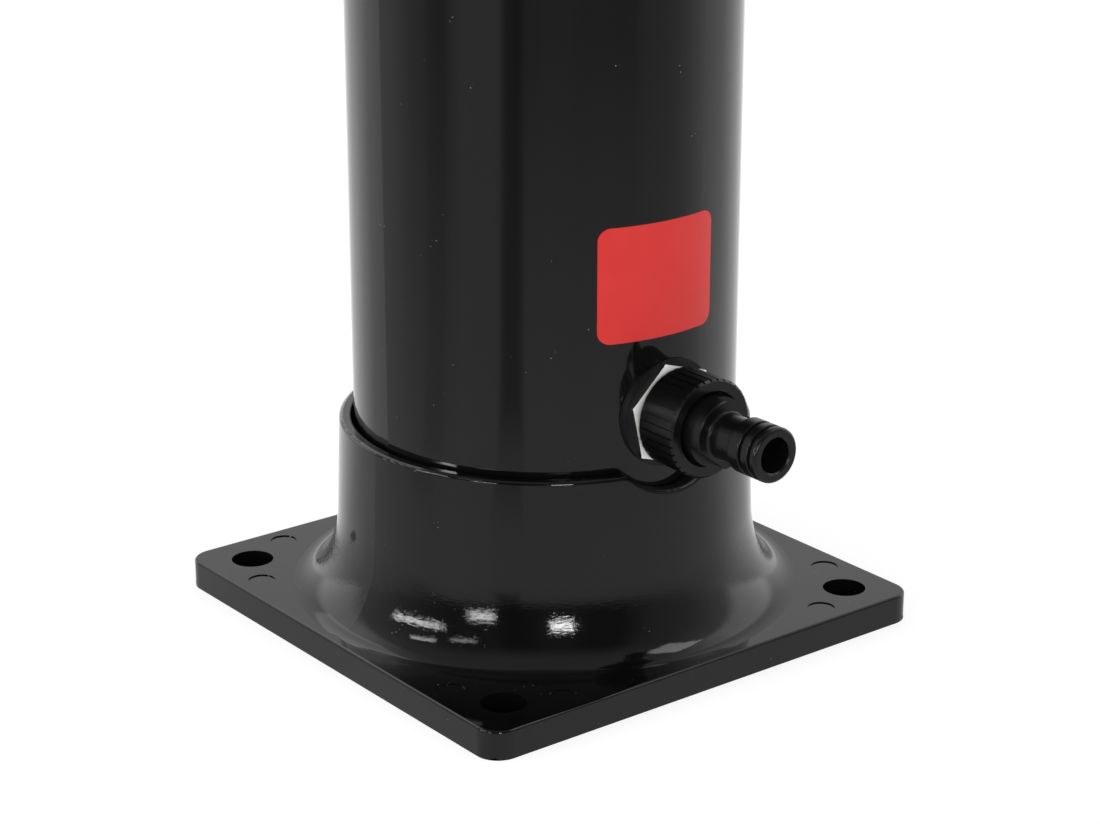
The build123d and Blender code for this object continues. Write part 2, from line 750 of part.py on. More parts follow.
barrel_end = flange_front + nipple_barrel_length
flats_start = barrel_end - nipple_flats_length
neck_start = barrel_end + nipple_cone_length
neck_end = neck_start + nipple_neck_length
ridge_floor = nipple_ridge_radius - nipple_groove_depth
nipple_outline = [(neck_start, nipple_neck_radius), (neck_end, nipple_neck_radius)]
station = neck_end + nipple_shoulder
for land in nipple_ridge_lands:
    nipple_outline.append((station, nipple_ridge_radius))
    station += land
    nipple_outline.append((station, nipple_ridge_radius))
    station += nipple_groove_slope
    nipple_outline.append((station, ridge_floor))
    station += nipple_groove_length
    nipple_outline.append((station, ridge_floor))
    station += nipple_groove_slope
nipple_outline.append((station, nipple_ridge_radius))
tip_start = station + nipple_tip_land
nipple_end = tip_start + nipple_tip_round
nipple_length = nipple_end - flange_back
with BuildPart() as inlet_nipple:
    turned(
        [
            (flange_back, 0),
            (flange_back, nipple_flange_radius),
            (flange_front, nipple_flange_radius),
            (flange_front, nipple_barrel_radius),
            (barrel_end - nipple_edge, nipple_barrel_radius),
            (barrel_end, nipple_barrel_radius - nipple_edge),
            (barrel_end, 0),
        ],
        back_side,
        back_axis,
    )
    with BuildSketch(face_plane(flats_start, inlet_height, 1)):
        Circle(nipple_barrel_radius + overrun)
        Rectangle(
            nipple_flats_width, (nipple_barrel_radius + overrun) * 2,
            rotation=nipple_flats_angle, mode=Mode.SUBTRACT,
        )
    extrude(amount=nipple_flats_length, mode=Mode.SUBTRACT)
    with BuildSketch(back_side):
        with BuildLine():
            cone = Spline(
                (barrel_end, nipple_flats_width / 2 - nipple_edge),
                (neck_start, nipple_neck_radius),
                tangents=[(0, -1), (1, 0)],
            )
            ridges = Polyline(*nipple_outline, (tip_start, nipple_ridge_radius))
            tip = ThreePointArc(
                ridges @ 1,
                (
                    tip_start + nipple_tip_round * math.sin(math.pi / 4),
                    nipple_ridge_radius - nipple_tip_round * (1 - math.cos(math.pi / 4)),
                ),
                (nipple_end, nipple_ridge_radius - nipple_tip_round),
            )
            Polyline(tip @ 1, (nipple_end, 0), (flats_start, 0), (flats_start, (cone @ 0).Y), cone @ 0)
        make_face()
        ridge_corners = vertices().filter_by(
            lambda corner: corner.Y > nipple_ridge_radius - pin_gap and corner.X < tip_start - pin_gap
        )
        fillet(ridge_corners, nipple_ridge_round)
    revolve(axis=back_axis)
    bore(face_plane(flange_back, inlet_height, 1), nipple_bore_radius, nipple_length)
    mouth = inlet_nipple.edges().filter_by(GeomType.CIRCLE).group_by(Axis.Y)[-1].sort_by(SortBy.RADIUS)[0]
    chamfer(mouth, nipple_mouth_chamfer)
inlet_nipple.part.label = "inlet_nipple"
export_step(inlet_nipple.part, "parts/inlet_nipple.step")

# Label above the inlet
label_angle = math.radians(90 - label_offset_angle)
label_plane = Plane(
    origin=(0, 0, inlet_height + label_above_inlet),
    x_dir=(-math.sin(label_angle), math.cos(label_angle), 0),
    z_dir=(math.cos(label_angle), math.sin(label_angle), 0),
)
with BuildPart() as inlet_label:
    ring(
        Plane.XY.offset(inlet_height + label_above_inlet - label_height / 2),
        tank_radius + skin_gap + label_thickness,
        tank_radius + skin_gap,
        label_height,
    )
    with BuildSketch(label_plane):
        label_width = tank_radius * 2 * math.sin(math.radians(label_arc_angle / 2))
        RectangleRounded(label_width, label_height, label_corner_radius)
    extrude(amount=tank_radius + overrun, mode=Mode.INTERSECT)
inlet_label.part.label = "inlet_label"
export_step(inlet_label.part, "parts/inlet_label.step")

# Tee behind the inlet: open to the tank, with a spigot for the mixer's cold hose
tee_end = stub_tail_end + tee_socket_overlap
tee_start = tee_end - tee_length
tee_barb_distance = stub_tail_end - tee_barb_setback
tee_barb_plane = Plane(origin=(0, tee_barb_distance, inlet_height))
with BuildPart() as inlet_tee:
    turned(
        [
            (tee_start, 0),
            (tee_start, tee_radius),
            (tee_end, tee_radius),
            (tee_end, stub_tail_radius + glue_gap),
            (stub_tail_end, stub_tail_radius + glue_gap),
            (stub_tail_end, 0),
        ],
        back_side,
        back_axis,
    )
    disc(tee_barb_plane, hose_radius, tee_barb_root)
    disc(tee_barb_plane, barb_radius, tee_barb_root + barb_length)
    bore(face_plane(tee_start, inlet_height, 1), inlet_bore_radius, tee_length)
    bore(tee_barb_plane, barb_bore, tee_barb_root + barb_length)
inlet_tee.part.label = "inlet_tee"
export_step(inlet_tee.part, "parts/inlet_tee.step")

# Hoses that the column holds, and their clamps
mixer_ports = [
    (mixer_port_ring_radius * math.cos(angle), mixer_port_ring_radius * math.sin(angle))
    for angle in (-math.pi / 2, math.pi * 5 / 6, math.pi / 6)
]
cold_port, hot_port, outlet_port = mixer_ports
hot_top = tank_top - hot_pickup_below_top
hose_routes = {
    "cold_hose": [
        (0, tee_barb_distance, inlet_height + tee_barb_root),
        (0, tee_barb_distance, mixer_height + cold_port[1]),
        (0, -mixer_shank_end, mixer_height + cold_port[1]),
    ],
    "hot_hose": [
        (hot_port[0], -mixer_shank_end, mixer_height + hot_port[1]),
        (hot_port[0], riser_distance, mixer_height + hot_port[1]),
        (hot_port[0] - hose_lean, riser_distance, hot_top),
    ],
    "riser_hose": [
        (outlet_port[0], -mixer_shank_end, mixer_height + outlet_port[1]),
        (outlet_port[0], riser_distance, mixer_height + outlet_port[1]),
        (0, riser_distance, arm_height),
        (0, -arm_inner_end, arm_height),
    ],
}
for hose_name, stops in hose_routes.items():
    with BuildPart() as hose:
        with BuildLine():
            centreline = FilletPolyline(*stops, radius=hose_bend_radius)
        with BuildSketch(Plane(origin=stops[0], z_dir=Vector(*stops[1]) - Vector(*stops[0]))):
            Circle(hose_radius)
            Circle(hose_bore, mode=Mode.SUBTRACT)
        sweep(path=centreline)
    section = math.pi * (hose_radius ** 2 - hose_bore ** 2)
    volume_share = hose.part.volume / section / centreline.length
    print(hose_name, "length", round(centreline.length), "volume share", round(volume_share, 4))
    hose.part.label = hose_name
    export_step(hose.part, f"parts/{hose_name}.step")

clamp_inner = hose_radius + thread_gap
with BuildPart() as hose_clamps:
    ring(
        tee_barb_plane.offset(tee_barb_root + clamp_setback),
        clamp_inner + clamp_wall,
        clamp_inner,
        clamp_width,
    )
    ring(
        face_plane(mixer_shank_end - clamp_setback - clamp_width, mixer_height, -1),
        clamp_inner + clamp_wall,
        clamp_inner,
        clamp_width,
        mixer_ports,
    )
    ring(
        face_plane(arm_inner_end - clamp_setback - clamp_width, arm_height, -1),
        clamp_inner + clamp_wall,
        clamp_inner,
        clamp_width,
    )
hose_clamps.part.label = "hose_clamps"
export_step(hose_clamps.part, "parts/hose_clamps.step")

# Single lever mixer
mixer_back = tank_radius + mixer_seal_thickness
mixer_front = mixer_back + mixer_body_length
bonnet_seat = mixer_front - bonnet_thread_length
cartridge_seat = bonnet_seat - cartridge_length
cartridge_floor = bonnet_seat - cartridge_bore_depth
pivot = mixer_front + bonnet_collar
mixer_washer_flat = tank_inner - mixer_inner_washer_thickness
with BuildPart() as mixer_seal:
    outer_saddle(mixer_height, -1, mixer_seal_radius, mixer_shank_radius + thread_gap, mixer_back)
mixer_seal.part.label = "mixer_seal"
export_step(mixer_seal.part, "parts/mixer_seal.step")

with BuildPart() as mixer_body:
    turned(
        [
            (mixer_shank_end, 0),
            (mixer_shank_end, mixer_shank_radius),
            (mixer_back, mixer_shank_radius),
            (mixer_back, rosette_radius),
            (mixer_back + rosette_thickness, rosette_radius),
            (mixer_back + rosette_thickness, mixer_body_radius),
            (mixer_front, mixer_body_radius),
            (mixer_front, bonnet_thread_radius + thread_gap),
            (bonnet_seat, bonnet_thread_radius + thread_gap),
            (bonnet_seat, cartridge_radius + glue_gap),
            (cartridge_seat, cartridge_radius + glue_gap),
            (cartridge_seat, 0),
        ],
        mixer_side,
        mixer_axis,
    )
    rounds = mixer_body.edges().filter_by(GeomType.CIRCLE).sort_by(Axis.Y)
    fillet([edge for edge in rounds if abs(edge.radius - rosette_radius) < skin_gap][0], rosette_round)
    rounds = mixer_body.edges().filter_by(GeomType.CIRCLE).sort_by(Axis.Y)
    barrel = [edge for edge in rounds if abs(edge.radius - mixer_body_radius) < skin_gap]
    fillet(barrel[-1], mixer_cove)
    rounds = mixer_body.edges().filter_by(GeomType.CIRCLE).sort_by(Axis.Y)
    barrel = [edge for edge in rounds if abs(edge.radius - mixer_body_radius) < skin_gap]
    fillet(barrel[0], mixer_body_round)
    ring(
        face_plane(mixer_shank_end - barb_length, mixer_height, -1),
        barb_radius,
        barb_bore,
        barb_length,
        mixer_ports,
    )
    bore(
        face_plane(mixer_shank_end, mixer_height, -1),
        barb_bore,
        cartridge_seat - mixer_shank_end,
        mixer_ports,
    )
mixer_body.part.label = "mixer_body"
export_step(mixer_body.part, "parts/mixer_body.step")

with BuildPart() as mixer_inner_washer:
    inner_saddle(
        mixer_height, -1, mixer_inner_washer_radius, mixer_shank_radius + thread_gap, mixer_washer_flat
    )
mixer_inner_washer.part.label = "mixer_inner_washer"
export_step(mixer_inner_washer.part, "parts/mixer_inner_washer.step")

with BuildPart() as mixer_backnut:
    hexagon_disc(
        mixer_side, mixer_axis, mixer_washer_flat - mixer_backnut_thickness, mixer_backnut_thickness,
        mixer_backnut_flats, backnut_chamfer,
    )
    bore(face_plane(0, mixer_height, -1), mixer_shank_radius + thread_gap, mixer_washer_flat + overrun)
mixer_backnut.part.label = "mixer_backnut"
export_step(mixer_backnut.part, "parts/mixer_backnut.step")

with BuildPart() as cartridge_housing:
    turned(
        [
            (cartridge_seat, 0),
            (cartridge_seat, cartridge_radius),
            (bonnet_seat, cartridge_radius),
            (bonnet_seat, turntable_radius + running_gap),
            (cartridge_floor, turntable_radius + running_gap),
            (cartridge_floor, 0),
        ],
        mixer_side,
        mixer_axis,
    )
    bore(
        face_plane(cartridge_seat, mixer_height, -1),
        barb_bore,
        cartridge_floor - cartridge_seat,
        mixer_ports,
    )
cartridge_housing.part.label = "cartridge_housing"
export_step(cartridge_housing.part, "parts/cartridge_housing.step")

turntable_start = cartridge_floor + running_gap
slot_reach = math.hypot(stem_tail, stem_side / 2) + running_gap
pivot_plane = Plane(origin=(0, -pivot, mixer_height), x_dir=(0, -1, 0), z_dir=(1, 0, 0))
with BuildPart() as cartridge_turntable:
    disc(
        face_plane(turntable_start, mixer_height, -1),
        turntable_radius,
        pivot + turntable_above_pivot - turntable_start,
    )
    with BuildSketch(face_plane(pivot - slot_reach, mixer_height, -1)):
        Rectangle(stem_side + running_gap, slot_reach * 2)
    extrude(amount=slot_reach + turntable_above_pivot, mode=Mode.SUBTRACT)
    with BuildSketch(pivot_plane):
        Circle(stem_pin_radius + pin_gap)
    extrude(amount=turntable_radius, both=True, mode=Mode.SUBTRACT)
cartridge_turntable.part.label = "cartridge_turntable"
export_step(cartridge_turntable.part, "parts/cartridge_turntable.step")

with BuildPart() as stem_pin:
    with BuildSketch(pivot_plane):
        Circle(stem_pin_radius)
    extrude(amount=turntable_radius - stem_pin_radius, both=True)
stem_pin.part.label = "stem_pin"
export_step(stem_pin.part, "parts/stem_pin.step")

cap_inner = bonnet_radius + cap_gap
cap_outer = cap_inner + cap_wall
index_front = pivot + cap_outer
index_seat = index_front - index_thickness
lever_screw_seat = index_seat - lever_screw_head_height
stem_front = pivot + stem_reach
with BuildPart() as lever_stem:
    with BuildSketch(face_plane(pivot - stem_tail, mixer_height, -1)):
        Rectangle(stem_side, stem_side)
    extrude(amount=stem_tail + stem_reach)
    with BuildSketch(pivot_plane):
        Circle(stem_pin_radius + pin_gap)
    extrude(amount=stem_side, both=True, mode=Mode.SUBTRACT)
    screw_hole_start = lever_screw_seat - lever_screw_length - thread_gap
    bore(face_plane(screw_hole_start, mixer_height, -1), lever_screw_radius + thread_gap, stem_reach)
lever_stem.part.label = "lever_stem"
export_step(lever_stem.part, "parts/lever_stem.step")

opening_angle = math.degrees(math.asin(bonnet_opening / bonnet_radius))
hollow_angle = math.degrees(math.asin(bonnet_opening / (bonnet_radius - bonnet_wall)))
with BuildPart() as mixer_bonnet:
    with BuildSketch(mixer_side):
        with BuildLine():
            crown = CenterArc((pivot, 0), bonnet_radius, opening_angle, 90 - opening_angle)
            hollow = CenterArc((pivot, 0), bonnet_radius - bonnet_wall, hollow_angle, 90 - hollow_angle)
            Polyline(
                crown @ 1,
                (mixer_front, bonnet_radius),
                (mixer_front, bonnet_thread_radius),
                (bonnet_seat, bonnet_thread_radius),
                (bonnet_seat, bonnet_bore),
                (mixer_front + bonnet_wall, bonnet_bore),
                (mixer_front + bonnet_wall, bonnet_radius - bonnet_wall),
                hollow @ 1,
            )
            Line(hollow @ 0, crown @ 0)
        make_face()
    revolve(axis=mixer_axis)
mixer_bonnet.part.label = "mixer_bonnet"
export_step(mixer_bonnet.part, "parts/mixer_bonnet.step")

lever_sections = [
    (lever_root_height, lever_root_lean, lever_root_width, lever_root_depth),
    (lever_mid_height, lever_mid_lean, lever_mid_width, lever_mid_depth),
    (lever_tip_height, lever_tip_lean, lever_tip_width, lever_tip_depth),
]
with BuildPart() as mixer_lever:
    for height, lean, width, depth in lever_sections:
        with BuildSketch(Plane(origin=(0, -pivot - lean, mixer_height + height))):
            RectangleRounded(width, depth, depth * lever_edge_share)
    loft()
    fillet(mixer_lever.edges().group_by(Axis.Z)[-1], lever_tip_round)
    with Locations((0, -pivot, mixer_height)):
        Sphere(cap_inner + cap_wall / 2, mode=Mode.SUBTRACT)
    with BuildSketch(mixer_side):
        with BuildLine():
            outside = CenterArc((pivot, 0), cap_outer, 0, cap_cover_angle)
            inside = CenterArc((pivot, 0), cap_inner, 0, cap_cover_angle)
            Line(outside @ 0, inside @ 0)
            Line(outside @ 1, inside @ 1)
        make_face()
    revolve(axis=mixer_axis)
    disc(
        face_plane(pivot + lever_hub_start, mixer_height, -1),
        lever_hub_radius,
        cap_inner + cap_wall / 2 - lever_hub_start,
    )
    with BuildSketch(face_plane(pivot, mixer_height, -1)):
        Rectangle(stem_side + glue_gap * 2, stem_side + glue_gap * 2)
    extrude(amount=stem_reach + glue_gap, mode=Mode.SUBTRACT)
    bore(face_plane(pivot, mixer_height, -1), lever_screw_radius + thread_gap, cap_outer + overrun)
    bore(face_plane(lever_screw_seat, mixer_height, -1), lever_screw_head_radius + thread_gap, cap_outer)
    bore(face_plane(index_seat, mixer_height, -1), index_radius + glue_gap, cap_outer)
mixer_lever.part.label = "mixer_lever"
export_step(mixer_lever.part, "parts/mixer_lever.step")

with BuildPart() as lever_screw:
    disc(face_plane(lever_screw_seat, mixer_height, -1), lever_screw_head_radius, lever_screw_head_height)
    disc(
        face_plane(lever_screw_seat - lever_screw_length, mixer_height, -1),
        lever_screw_radius,
        lever_screw_length,
    )
lever_screw.part.label = "lever_screw"
export_step(lever_screw.part, "parts/lever_screw.step")

with BuildPart() as lever_index:
    disc(face_plane(index_seat, mixer_height, -1), index_radius, index_thickness)
lever_index.part.label = "lever_index"
export_step(lever_index.part, "parts/lever_index.step")

# Foot tap
foot_back = tank_radius + foot_seal_thickness
foot_front = foot_back + foot_body_length
foot_shank_end = foot_back - foot_shank_length
foot_washer_flat = tank_inner - foot_inner_washer_thickness
headwork_start = foot_front - headwork_thread_length
headwork_hex_end = foot_front + headwork_hex_length
spout_end = foot_tap_height - foot_spout_drop
spout_plane = Plane(origin=(0, -foot_back - foot_spout_distance, spout_end))
with BuildPart() as foot_tap_seal:
    outer_saddle(foot_tap_height, -1, foot_seal_radius, foot_shank_radius + thread_gap, foot_back)
foot_tap_seal.part.label = "foot_tap_seal"
export_step(foot_tap_seal.part, "parts/foot_tap_seal.step")

with BuildPart() as foot_tap_body:
    turned(
        [
            (foot_shank_end, 0),
            (foot_shank_end, foot_shank_radius),
            (foot_back, foot_shank_radius),
            (foot_back, foot_collar_radius),
            (foot_back + foot_collar_thickness, foot_collar_radius),
            (foot_back + foot_collar_thickness, foot_body_radius),
            (foot_front, foot_body_radius),
            (foot_front, 0),
        ],
        foot_side,
        foot_axis,
    )
    fillet(foot_tap_body.edges().group_by(Axis.Y)[0], foot_body_round)
    disc(spout_plane, foot_spout_radius, foot_spout_drop)
    bore(face_plane(foot_shank_end, foot_tap_height, -1), foot_shank_bore, headwork_start - foot_shank_end)
    bore(
        face_plane(headwork_start, foot_tap_height, -1),
        headwork_thread_radius + thread_gap,
        headwork_thread_length,
    )
    bore(spout_plane, foot_spout_bore, foot_spout_drop)
foot_tap_body.part.label = "foot_tap_body"
export_step(foot_tap_body.part, "parts/foot_tap_body.step")

with BuildPart() as foot_tap_inner_washer:
    inner_saddle(foot_tap_height, -1, foot_seal_radius, foot_shank_radius + thread_gap, foot_washer_flat)
foot_tap_inner_washer.part.label = "foot_tap_inner_washer"
export_step(foot_tap_inner_washer.part, "parts/foot_tap_inner_washer.step")

with BuildPart() as foot_tap_backnut:
    hexagon_disc(
        foot_side, foot_axis, foot_washer_flat - foot_backnut_thickness, foot_backnut_thickness,
        foot_backnut_flats, backnut_chamfer,
    )
    bore(face_plane(0, foot_tap_height, -1), foot_shank_radius + thread_gap, foot_washer_flat + overrun)
foot_tap_backnut.part.label = "foot_tap_backnut"
export_step(foot_tap_backnut.part, "parts/foot_tap_backnut.step")

knob_back = headwork_hex_end + knob_standoff
knob_front = knob_back + knob_length
knob_floor = knob_back + knob_skirt_depth
spindle_end = knob_floor + knob_socket_depth
spindle_start = spindle_end - spindle_length
with BuildPart() as foot_tap_headwork:
    hexagon_disc(
        foot_side, foot_axis, foot_front, headwork_hex_length, headwork_hex_flats, backnut_chamfer / 2
    )
    disc(
        face_plane(headwork_start, foot_tap_height, -1), headwork_thread_radius, headwork_thread_length
    )
    disc(face_plane(headwork_hex_end, foot_tap_height, -1), headwork_nose_radius, headwork_nose_length)
    bore(
        face_plane(spindle_start - pin_gap, foot_tap_height, -1), spindle_radius + pin_gap, spindle_length
    )
foot_tap_headwork.part.label = "foot_tap_headwork"
export_step(foot_tap_headwork.part, "parts/foot_tap_headwork.step")

with BuildPart() as foot_tap_spindle:
    disc(face_plane(spindle_start, foot_tap_height, -1), spindle_radius, spindle_length)
foot_tap_spindle.part.label = "foot_tap_spindle"
export_step(foot_tap_spindle.part, "parts/foot_tap_spindle.step")

with BuildPart() as foot_tap_knob:
    with BuildSketch(face_plane(knob_back, foot_tap_height, -1)):
        Circle(knob_radius)
        with PolarLocations(knob_radius + knob_scallop_radius - knob_scallop_depth, knob_lobes):
            Circle(knob_scallop_radius, mode=Mode.SUBTRACT)
    extrude(amount=knob_length)
    fillet(foot_tap_knob.edges().group_by(Axis.Y)[0], knob_round)
    bore(
        face_plane(knob_back, foot_tap_height, -1),
        knob_radius - knob_scallop_depth - knob_wall,
        knob_skirt_depth,
    )
    bore(face_plane(knob_floor, foot_tap_height, -1), spindle_radius + glue_gap, knob_socket_depth)
    bore(
        face_plane(knob_front - knob_index_thickness, foot_tap_height, -1),
        knob_index_radius + glue_gap,
        knob_length,
    )
foot_tap_knob.part.label = "foot_tap_knob"
export_step(foot_tap_knob.part, "parts/foot_tap_knob.step")

with BuildPart() as foot_tap_index:
    disc(
        face_plane(knob_front - knob_index_thickness, foot_tap_height, -1),
        knob_index_radius,
        knob_index_thickness,
    )
foot_tap_index.part.label = "foot_tap_index"
export_step(foot_tap_index.part, "parts/foot_tap_index.step")

aerator_hang = aerator_height - aerator_overlap
with BuildPart() as foot_tap_aerator:
    disc(spout_plane.offset(-aerator_hang), aerator_radius, aerator_height)
    bore(spout_plane, foot_spout_radius + thread_gap, aerator_overlap)
    bore(spout_plane.offset(-aerator_hang), aerator_screen_radius, aerator_screen_depth)
    bore(spout_plane.offset(-aerator_hang), aerator_hole_radius, aerator_height)
    with BuildSketch(spout_plane.offset(-aerator_hang)):
        with PolarLocations(aerator_hole_ring_radius, aerator_hole_count):
            Circle(aerator_hole_radius)
    extrude(amount=aerator_height, mode=Mode.SUBTRACT)
foot_tap_aerator.part.label = "foot_tap_aerator"
export_step(foot_tap_aerator.part, "parts/foot_tap_aerator.step")

# Shower arm
arm_seal_front = tank_radius + arm_seal_thickness
arm_washer_flat = tank_inner - arm_inner_washer_thickness
head_distance = tank_radius + arm_reach + arm_bend_radius
arm_end_height = arm_height - arm_bend_radius - arm_drop_length
with BuildPart() as arm_seal:
    outer_saddle(arm_height, -1, arm_seal_radius, arm_radius + thread_gap, arm_seal_front)
arm_seal.part.label = "arm_seal"
export_step(arm_seal.part, "parts/arm_seal.step")

escutcheon_flat = escutcheon_radius * escutcheon_flat_share
with BuildPart() as arm_escutcheon:
    with BuildSketch(arm_side):
        with BuildLine():
            rim = Polyline(
                (arm_seal_front + escutcheon_thickness, escutcheon_flat),
                (arm_seal_front + escutcheon_thickness, arm_radius + thread_gap),
                (arm_seal_front, arm_radius + thread_gap),
                (arm_seal_front, escutcheon_radius),
                (arm_seal_front + escutcheon_thickness / 4, escutcheon_radius),
            )
            Spline(rim @ 0, rim @ 1, tangents=[(0, 1), (-1, 0)])
        make_face()
    revolve(axis=arm_axis)
arm_escutcheon.part.label = "arm_escutcheon"
export_step(arm_escutcheon.part, "parts/arm_escutcheon.step")

with BuildPart() as arm_inner_washer:
    inner_saddle(arm_height, -1, arm_inner_washer_radius, arm_radius + thread_gap, arm_washer_flat)
arm_inner_washer.part.label = "arm_inner_washer"
export_step(arm_inner_washer.part, "parts/arm_inner_washer.step")

with BuildPart() as arm_backnut:
    hexagon_disc(
        arm_side, arm_axis, arm_washer_flat - arm_backnut_thickness, arm_backnut_thickness,
        arm_backnut_flats, backnut_chamfer,
    )
    bore(face_plane(0, arm_height, -1), arm_radius + thread_gap, arm_washer_flat + overrun)
arm_backnut.part.label = "arm_backnut"
export_step(arm_backnut.part, "parts/arm_backnut.step")

with BuildPart() as shower_arm:
    with BuildLine():
        arm_line = FilletPolyline(
            (0, -arm_inner_end, arm_height),
            (0, -head_distance, arm_height),
            (0, -head_distance, arm_end_height),
            radius=arm_bend_radius,
        )
    with BuildSketch(face_plane(arm_inner_end, arm_height, -1)):
        Circle(arm_radius)
        Circle(arm_bore, mode=Mode.SUBTRACT)
    sweep(path=arm_line)
    turned(
        [
            (arm_inner_end - barb_length, barb_bore),
            (arm_inner_end - barb_length, barb_radius),
            (arm_inner_end, barb_radius),
            (arm_inner_end, (arm_radius + arm_bore) / 2),
            (arm_inner_end + arm_plug_thickness, (arm_radius + arm_bore) / 2),
            (arm_inner_end + arm_plug_thickness, barb_bore),
        ],
        arm_side,
        arm_axis,
    )
shower_arm.part.label = "shower_arm"
export_step(shower_arm.part, "parts/shower_arm.step")

# Ball joint and rain head, turned about the upright axis at the arm's end
head_side = Plane(origin=(0, -head_distance, 0), x_dir=(1, 0, 0), z_dir=(0, -1, 0))
head_axis = Axis((0, -head_distance, 0), (0, 0, 1))
stud_collar_bottom = arm_end_height - stud_collar_height
ball_height = stud_collar_bottom - ball_below_collar
neck_angle = math.degrees(math.acos(stud_neck_radius / ball_radius))
stud_mouth_angle = math.degrees(math.acos(stud_bore_radius / ball_radius))
with BuildPart() as ball_stud:
    with BuildSketch(head_side):
        with BuildLine():
            ball = CenterArc((0, ball_height), ball_radius, neck_angle, -neck_angle - stud_mouth_angle)
            Polyline(
                ball @ 1,
                (stud_bore_radius, arm_end_height + stud_plug_length),
                (arm_bore - glue_gap, arm_end_height + stud_plug_length),
                (arm_bore - glue_gap, arm_end_height),
                (stud_collar_radius, arm_end_height),
                (stud_collar_radius, stud_collar_bottom),
                (stud_neck_radius, stud_collar_bottom),
                ball @ 0,
            )
        make_face()
    revolve(axis=head_axis)
ball_stud.part.label = "ball_stud"
export_step(ball_stud.part, "parts/ball_stud.step")

seat_inner = ball_radius + running_gap
seat_outer = seat_inner + seat_wall
seat_mouth_angle = math.degrees(math.acos(seat_mouth_radius / seat_outer))
with BuildPart() as ball_seat:
    with BuildSketch(head_side):
        with BuildLine():
            seat_arc = 90 - seat_open_angle + seat_mouth_angle
            outside = CenterArc((0, ball_height), seat_outer, -seat_mouth_angle, seat_arc)
            inside = CenterArc((0, ball_height), seat_inner, -seat_mouth_angle, seat_arc)
            Line(outside @ 0, inside @ 0)
            Line(outside @ 1, inside @ 1)
        make_face()
    revolve(axis=head_axis)
ball_seat.part.label = "ball_seat"
export_step(ball_seat.part, "parts/ball_seat.step")

socket_sphere = seat_outer + running_gap
nut_open_angle = math.radians(90 - ball_nut_open_angle)
with BuildPart() as ball_nut:
    with BuildSketch(head_side):
        with BuildLine():
            cup = CenterArc((0, ball_height), socket_sphere, 0, 90 - ball_nut_open_angle)
            Polyline(
                cup @ 1,
                (ball_nut_height / math.tan(nut_open_angle), ball_height + ball_nut_height),
                (ball_nut_radius - ball_nut_edge, ball_height + ball_nut_height),
                (ball_nut_radius, ball_height + ball_nut_height - ball_nut_edge),
                (ball_nut_radius, ball_height - ball_nut_skirt),
                (hub_thread_radius + thread_gap, ball_height - ball_nut_skirt),
                (hub_thread_radius + thread_gap, ball_height),
                cup @ 0,
            )
        make_face()
    revolve(axis=head_axis)
    with BuildSketch(Plane(origin=(0, -head_distance, ball_height - ball_nut_skirt))):
        with PolarLocations(ball_nut_radius + ball_nut_grip_radius / 2, ball_nut_grips):
            Circle(ball_nut_grip_radius)
    extrude(amount=ball_nut_skirt + ball_nut_height, mode=Mode.SUBTRACT)
ball_nut.part.label = "ball_nut"
export_step(ball_nut.part, "parts/ball_nut.step")

hub_bottom = ball_height - head_hub_depth
rim_top = hub_bottom - head_fall
head_bottom = rim_top - head_rim_height
chamber_radius = head_radius - head_shell
cup_mouth_angle = math.degrees(math.acos(seat_mouth_radius / socket_sphere))
with BuildPart() as head_body:
    with BuildSketch(head_side):
        with BuildLine():
            cup = CenterArc((0, ball_height), socket_sphere, 0, -cup_mouth_angle)
            ceiling_start = (seat_mouth_radius, hub_bottom - head_shell)
            ceiling_end = (chamber_radius, rim_top - head_shell / 2)
            Line(cup @ 1, ceiling_start)
            SagittaArc(ceiling_start, ceiling_end, head_crown)
            edge_line = Polyline(
                ceiling_end,
                (chamber_radius, head_bottom),
                (head_radius, head_bottom),
                (head_radius, rim_top),
            )
            SagittaArc(edge_line @ 1, (hub_thread_radius, hub_bottom), -head_crown)
            Polyline(
                (hub_thread_radius, hub_bottom),
                (hub_thread_radius, ball_height - pin_gap),
                (socket_sphere, ball_height - pin_gap),
                cup @ 0,
            )
        make_face()
    revolve(axis=head_axis)
head_body.part.label = "head_body"
export_step(head_body.part, "parts/head_body.step")

nozzle_places = [
    (
        nozzle_ring_pitch * (ring_index + 1) * math.cos(math.tau * place / count),
        nozzle_ring_pitch * (ring_index + 1) * math.sin(math.tau * place / count),
    )
    for ring_index, count in enumerate(nozzle_ring_counts)
    for place in range(count)
]
head_floor = Plane(origin=(0, -head_distance, head_bottom))
with BuildPart() as head_face:
    disc(head_floor, chamber_radius - glue_gap, head_plate)
    bore(head_floor, nozzle_radius + pin_gap, head_plate, nozzle_places)
head_face.part.label = "head_face"
export_step(head_face.part, "parts/head_face.step")

mat_radius = nozzle_ring_pitch * len(nozzle_ring_counts) + nozzle_mat_border
with BuildPart() as head_nozzles:
    disc(head_floor.offset(head_plate), mat_radius, nozzle_mat_thickness)
    with Locations(head_floor.offset(-nozzle_proud)):
        with Locations(*nozzle_places):
            Cone(
                nozzle_tip_radius,
                nozzle_radius,
                nozzle_proud + head_plate,
                align=(Align.CENTER, Align.CENTER, Align.MIN),
            )
head_nozzles.part.label = "head_nozzles"
export_step(head_nozzles.part, "parts/head_nozzles.step")
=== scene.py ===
"""Solar outdoor shower: finishes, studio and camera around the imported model. Metres, +Z up."""
import json
import math

import bpy
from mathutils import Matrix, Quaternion, Vector

